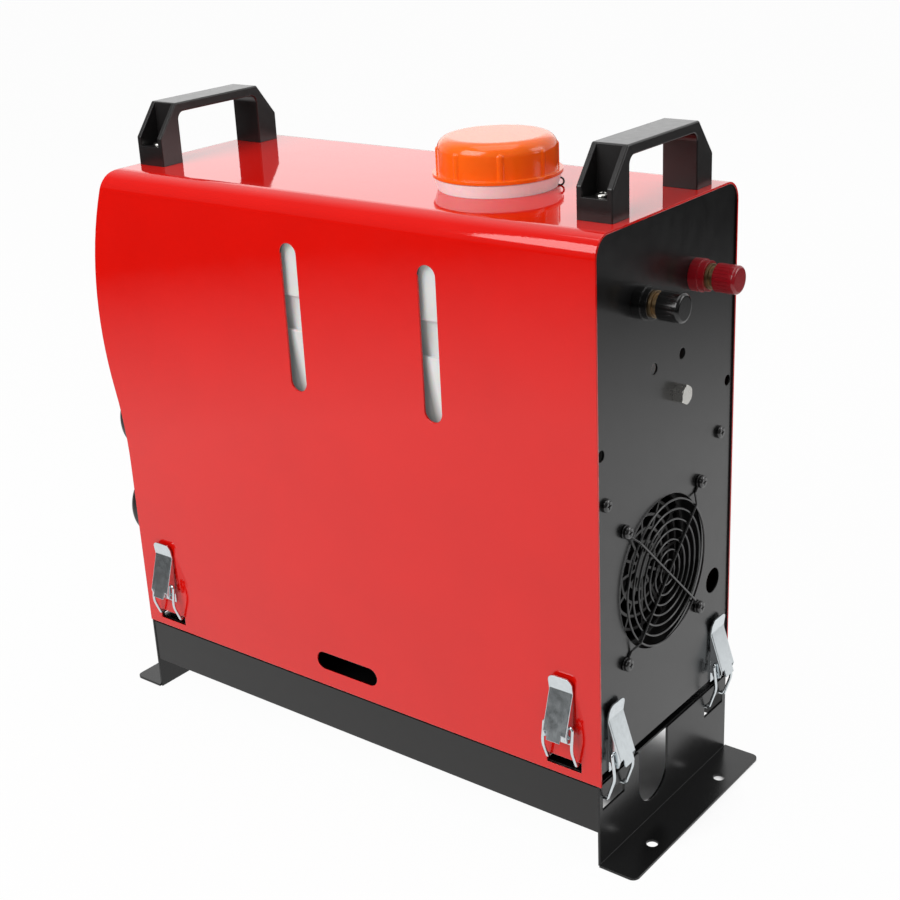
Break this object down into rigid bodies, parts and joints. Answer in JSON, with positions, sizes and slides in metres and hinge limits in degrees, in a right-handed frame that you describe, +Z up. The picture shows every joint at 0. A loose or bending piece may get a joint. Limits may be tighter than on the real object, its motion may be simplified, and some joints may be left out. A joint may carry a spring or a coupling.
{
  "type": "diesel air heater",
  "caption": "Portable diesel air heater: red sheet-steel box on bolt-down feet with fuel tank, fan intake, front vents, handles and toggle latches.",
  "frame": {"origin": "on the floor, under the middle of the whole object", "axes": "+Z up, +X towards the rear plate with the fan and terminals, -Y the long side on the left of someone facing the rear plate"},
  "size_m": [0.4258, 0.1726, 0.4124],
  "materials": {
    "red_paint": "gloss",
    "black_paint": "satin",
    "rail_paint": "satin",
    "black_plastic": "matte",
    "button_plastic": "matte",
    "black_gloss_plastic": "gloss",
    "red_plastic": "gloss",
    "orange_plastic": "gloss",
    "white_plastic": "gloss",
    "tank_plastic": "satin",
    "rubber": "matte",
    "guard_wire": "satin",
    "black_screw": "gloss",
    "zinc": "polished",
    "nickel": "polished",
    "steel": "machined",
    "cast_aluminium": "cast",
    "fan_plastic": "matte",
    "screen": "gloss",
    "circuit_board": "satin"
  },
  "bodies": {
    "housing": {"outer_shell": "red_paint", "rear_plate": "black_paint", "front_panel": "black_paint", "foot_front": "black_paint", "foot_rear": "black_paint", "floor_pan": "black_paint", "side_rails": "rail_paint", "heater_bracket": "rail_paint", "handles": "black_plastic", "intake_grille": "black_plastic", "vent_bezels": "black_plastic", "controller_case": "black_plastic", "heater_case": "black_plastic", "outlet_plenum": "black_plastic", "terminal_collar_black": "black_gloss_plastic", "terminal_collar_red": "red_plastic", "filler_collar": "white_plastic", "fuel_tank": "tank_plastic", "fuel_line": "rubber", "fan_guard": "guard_wire", "rear_screws": "black_screw", "latch_bases": "zinc", "hex_bolt": "nickel", "handle_screws": "nickel", "terminal_studs": "nickel", "burner_pipes": "steel", "fuel_pump": "steel", "heat_exchanger": "cast_aluminium", "blower_motor": "cast_aluminium", "controller_screen": "screen", "control_board": "circuit_board"},
    "latch_lever_left_front": {"latch_lever_left_front": "zinc"},
    "latch_bail_left_front": {"latch_bail_left_front": "zinc"},
    "latch_lever_right_front": {"latch_lever_right_front": "zinc"},
    "latch_bail_right_front": {"latch_bail_right_front": "zinc"},
    "latch_lever_left_rear": {"latch_lever_left_rear": "zinc"},
    "latch_bail_left_rear": {"latch_bail_left_rear": "zinc"},
    "latch_lever_right_rear": {"latch_lever_right_rear": "zinc"},
    "latch_bail_right_rear": {"latch_bail_right_rear": "zinc"},
    "latch_lever_back_left": {"latch_lever_back_left": "zinc"},
    "latch_bail_back_left": {"latch_bail_back_left": "zinc"},
    "latch_lever_back_right": {"latch_lever_back_right": "zinc"},
    "latch_bail_back_right": {"latch_bail_back_right": "zinc"},
    "cap_gasket": {"cap_gasket": "rubber"},
    "filler_cap": {"filler_cap": "orange_plastic"},
    "terminal_washer_black": {"terminal_washer_black": "nickel"},
    "terminal_knob_black": {"terminal_knob_black": "black_gloss_plastic"},
    "terminal_washer_red": {"terminal_washer_red": "nickel"},
    "terminal_knob_red": {"terminal_knob_red": "red_plastic"},
    "rotor": {"motor_shaft": "steel", "blower_impeller": "fan_plastic", "combustion_impeller": "cast_aluminium"},
    "vent_louvre_low_left": {"vent_louvre_low_left": "black_plastic"},
    "vent_louvre_low_right": {"vent_louvre_low_right": "black_plastic"},
    "vent_louvre_high_left": {"vent_louvre_high_left": "black_plastic"},
    "vent_louvre_high_right": {"vent_louvre_high_right": "black_plastic"},
    "button_1": {"button_1": "button_plastic"},
    "button_2": {"button_2": "button_plastic"},
    "button_3": {"button_3": "button_plastic"},
    "button_4": {"button_4": "button_plastic"}
  },
  "joints": [
    {"name": "latch_open_left_front", "type": "hinge", "parent": "housing", "child": "latch_lever_left_front", "pos_m": [-0.16535, -0.081, 0.0848], "axis": [1, 0, 0], "range_deg": [0, 115]},
    {"name": "bail_swing_left_front", "type": "hinge", "parent": "latch_lever_left_front", "child": "latch_bail_left_front", "pos_m": [-0.16535, -0.08, 0.0908], "axis": [1, 0, 0], "range_deg": [-115, 0]},
    {"name": "latch_open_right_front", "type": "hinge", "parent": "housing", "child": "latch_lever_right_front", "pos_m": [-0.16535, 0.081, 0.0848], "axis": [-1, 0, 0], "range_deg": [0, 115]},
    {"name": "bail_swing_right_front", "type": "hinge", "parent": "latch_lever_right_front", "child": "latch_bail_right_front", "pos_m": [-0.16535, 0.08, 0.0908], "axis": [-1, 0, 0], "range_deg": [-115, 0]},
    {"name": "latch_open_left_rear", "type": "hinge", "parent": "housing", "child": "latch_lever_left_rear", "pos_m": [0.16165, -0.081, 0.0848], "axis": [1, 0, 0], "range_deg": [0, 115]},
    {"name": "bail_swing_left_rear", "type": "hinge", "parent": "latch_lever_left_rear", "child": "latch_bail_left_rear", "pos_m": [0.16165, -0.08, 0.0908], "axis": [1, 0, 0], "range_deg": [-115, 0]},
    {"name": "latch_open_right_rear", "type": "hinge", "parent": "housing", "child": "latch_lever_right_rear", "pos_m": [0.16165, 0.081, 0.0848], "axis": [-1, 0, 0], "range_deg": [0, 115]},
    {"name": "bail_swing_right_rear", "type": "hinge", "parent": "latch_lever_right_rear", "child": "latch_bail_right_rear", "pos_m": [0.16165, 0.08, 0.0908], "axis": [-1, 0, 0], "range_deg": [-115, 0]},
    {"name": "latch_open_back_left", "type": "hinge", "parent": "housing", "child": "latch_lever_back_left", "pos_m": [0.19165, -0.0598, 0.0688], "axis": [0, 1, 0], "range_deg": [0, 115]},
    {"name": "bail_swing_back_left", "type": "hinge", "parent": "latch_lever_back_left", "child": "latch_bail_back_left", "pos_m": [0.19065, -0.0598, 0.0748], "axis": [0, 1, 0], "range_deg": [-115, 0]},
    {"name": "latch_open_back_right", "type": "hinge", "parent": "housing", "child": "latch_lever_back_right", "pos_m": [0.19165, 0.0593, 0.0688], "axis": [0, 1, 0], "range_deg": [0, 115]},
    {"name": "bail_swing_back_right", "type": "hinge", "parent": "latch_lever_back_right", "child": "latch_bail_back_right", "pos_m": [0.19065, 0.0593, 0.0748], "axis": [0, 1, 0], "range_deg": [-115, 0]},
    {"name": "cap_rise", "type": "slide", "parent": "housing", "child": "cap_gasket", "axis": [0, 0, 1], "range_m": [0, 0.0081]},
    {"name": "cap_turn", "type": "hinge", "parent": "cap_gasket", "child": "filler_cap", "pos_m": [0.07395, 0, 0.3918], "axis": [0, 0, 1], "range_deg": [0, 720]},
    {"name": "terminal_slide_black", "type": "slide", "parent": "housing", "child": "terminal_washer_black", "axis": [1, 0, 0], "range_m": [0, 0.0031]},
    {"name": "terminal_turn_black", "type": "hinge", "parent": "terminal_washer_black", "child": "terminal_knob_black", "pos_m": [0.20565, -0.0312, 0.3304], "axis": [1, 0, 0], "range_deg": [0, 1080]},
    {"name": "terminal_slide_red", "type": "slide", "parent": "housing", "child": "terminal_washer_red", "axis": [1, 0, 0], "range_m": [0, 0.0031]},
    {"name": "terminal_turn_red", "type": "hinge", "parent": "terminal_washer_red", "child": "terminal_knob_red", "pos_m": [0.20565, 0.0286, 0.3304], "axis": [1, 0, 0], "range_deg": [0, 1080]},
    {"name": "rotor_spin", "type": "hinge", "parent": "housing", "child": "rotor", "pos_m": [0.11365, -0.0055, 0.1625], "axis": [1, 0, 0], "continuous": true},
    {"name": "vent_turn_low_left", "type": "hinge", "parent": "housing", "child": "vent_louvre_low_left", "pos_m": [-0.19135, -0.0375, 0.1305], "axis": [1, 0, 0], "continuous": true},
    {"name": "vent_turn_low_right", "type": "hinge", "parent": "housing", "child": "vent_louvre_low_right", "pos_m": [-0.19135, 0.0375, 0.1305], "axis": [1, 0, 0], "continuous": true},
    {"name": "vent_turn_high_left", "type": "hinge", "parent": "housing", "child": "vent_louvre_high_left", "pos_m": [-0.19135, -0.0375, 0.1965], "axis": [1, 0, 0], "continuous": true},
    {"name": "vent_turn_high_right", "type": "hinge", "parent": "housing", "child": "vent_louvre_high_right", "pos_m": [-0.19135, 0.0375, 0.1965], "axis": [1, 0, 0], "continuous": true},
    {"name": "button_press_1", "type": "slide", "parent": "housing", "child": "button_1", "axis": [1, 0, 0], "range_m": [0, 0.001], "stiffness_N_per_m": 300},
    {"name": "button_press_2", "type": "slide", "parent": "housing", "child": "button_2", "axis": [1, 0, 0], "range_m": [0, 0.001], "stiffness_N_per_m": 300},
    {"name": "button_press_3", "type": "slide", "parent": "housing", "child": "button_3", "axis": [1, 0, 0], "range_m": [0, 0.001], "stiffness_N_per_m": 300},
    {"name": "button_press_4", "type": "slide", "parent": "housing", "child": "button_4", "axis": [1, 0, 0], "range_m": [0, 0.001], "stiffness_N_per_m": 300}
  ],
  "couplings": [
    {"joint": "bail_swing_left_front", "follows": "latch_open_left_front", "ratio": -1},
    {"joint": "bail_swing_right_front", "follows": "latch_open_right_front", "ratio": -1},
    {"joint": "bail_swing_left_rear", "follows": "latch_open_left_rear", "ratio": -1},
    {"joint": "bail_swing_right_rear", "follows": "latch_open_right_rear", "ratio": -1},
    {"joint": "bail_swing_back_left", "follows": "latch_open_back_left", "ratio": -1},
    {"joint": "bail_swing_back_right", "follows": "latch_open_back_right", "ratio": -1},
    {"joint": "cap_rise", "follows": "cap_turn", "m_per_rad": 0.00063662},
    {"joint": "terminal_slide_black", "follows": "terminal_turn_black", "m_per_rad": 0.00015915},
    {"joint": "terminal_slide_red", "follows": "terminal_turn_red", "m_per_rad": 0.00015915}
  ]
}
